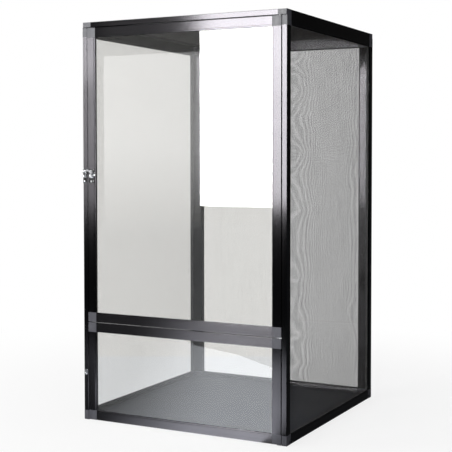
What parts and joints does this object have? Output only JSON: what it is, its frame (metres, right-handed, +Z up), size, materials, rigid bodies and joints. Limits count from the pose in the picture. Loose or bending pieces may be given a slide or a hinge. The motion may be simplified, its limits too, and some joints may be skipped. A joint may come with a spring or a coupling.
{
  "type": "reptile terrarium",
  "caption": "Tall reptile terrarium with framed wire-mesh walls and lid, a solid floor and two hinged clear front doors held by a swing-hook latch.",
  "frame": {"origin": "middle of the footprint, on the surface that the terrarium stands on", "axes": "+Z up, the doors face -Y, +X to the right of someone facing the doors"},
  "size_m": [0.45, 0.456, 0.8],
  "materials": {
    "frame_aluminium": "black anodised extrusion, satin",
    "key_plastic": "dark grey moulded corner keys",
    "wire_mesh": "dark woven wire screen, drawn as a coarse see-through grid",
    "clear_pane": "clear polished pane",
    "spline_rubber": "black spline and gasket",
    "floor_plastic": "dark grey smooth board",
    "pivot_steel": "plain steel pins and plates",
    "black_screw_steel": "black screws",
    "button_zinc": "zinc-plated turn button",
    "latch_chrome": "bright nickel or chrome plate"
  },
  "bodies": {
    "cabinet": {"left_front_stile": "frame_aluminium", "left_rear_stile": "frame_aluminium", "left_top_rail": "frame_aluminium", "left_bottom_rail": "frame_aluminium", "left_corner_keys": "key_plastic", "left_mesh": "wire_mesh", "left_spline": "spline_rubber", "right_front_stile": "frame_aluminium", "right_rear_stile": "frame_aluminium", "right_top_rail": "frame_aluminium", "right_bottom_rail": "frame_aluminium", "right_corner_keys": "key_plastic", "right_mesh": "wire_mesh", "right_spline": "spline_rubber", "back_left_stile": "frame_aluminium", "back_right_stile": "frame_aluminium", "back_top_rail": "frame_aluminium", "back_bottom_rail": "frame_aluminium", "back_corner_keys": "key_plastic", "back_mesh": "wire_mesh", "back_spline": "spline_rubber", "lid_left_rail": "frame_aluminium", "lid_right_rail": "frame_aluminium", "lid_front_rail": "frame_aluminium", "lid_rear_rail": "frame_aluminium", "lid_corner_keys": "key_plastic", "lid_mesh": "wire_mesh", "lid_spline": "spline_rubber", "floor_board": "floor_plastic", "pivot_pins": "pivot_steel", "middle_pivot_bracket": "pivot_steel", "bottom_pivot_plate": "pivot_steel", "pivot_screws": "black_screw_steel", "latch_keeper": "latch_chrome", "keeper_stud": "latch_chrome", "keeper_screws": "latch_chrome", "turn_button_screw": "button_zinc", "lid_screws": "black_screw_steel", "side_screws": "black_screw_steel"},
    "upper_door": {"upper_latch_stile": "frame_aluminium", "upper_hinge_stile": "frame_aluminium", "upper_top_rail": "frame_aluminium", "upper_bottom_rail": "frame_aluminium", "upper_corner_keys": "key_plastic", "upper_pane": "clear_pane", "upper_gasket": "spline_rubber", "latch_plate": "latch_chrome", "latch_rivet": "latch_chrome", "latch_plate_screws": "latch_chrome"},
    "lower_door": {"lower_latch_stile": "frame_aluminium", "lower_hinge_stile": "frame_aluminium", "lower_top_rail": "frame_aluminium", "lower_bottom_rail": "frame_aluminium", "lower_corner_keys": "key_plastic", "lower_pane": "clear_pane", "lower_gasket": "spline_rubber"},
    "hook": {"latch_hook": "latch_chrome"},
    "button": {"turn_button": "button_zinc"}
  },
  "joints": [
    {"name": "upper_door_swing", "type": "hinge", "parent": "cabinet", "child": "upper_door", "pos_m": [0.20944, -0.222, 0.5], "axis": [0, 0, 1], "range_deg": [0, 110]},
    {"name": "lower_door_swing", "type": "hinge", "parent": "cabinet", "child": "lower_door", "pos_m": [0.20944, -0.222, 0.1], "axis": [0, 0, 1], "range_deg": [0, 110]},
    {"name": "hook_turn", "type": "hinge", "parent": "upper_door", "child": "hook", "pos_m": [-0.2049, -0.2284, 0.493], "axis": [0, 1, 0], "range_deg": [-22, 68]},
    {"name": "button_turn", "type": "hinge", "parent": "cabinet", "child": "button", "pos_m": [-0.22, -0.2261, 0.094], "axis": [0, 1, 0], "range_deg": [0, 90]}
  ]
}
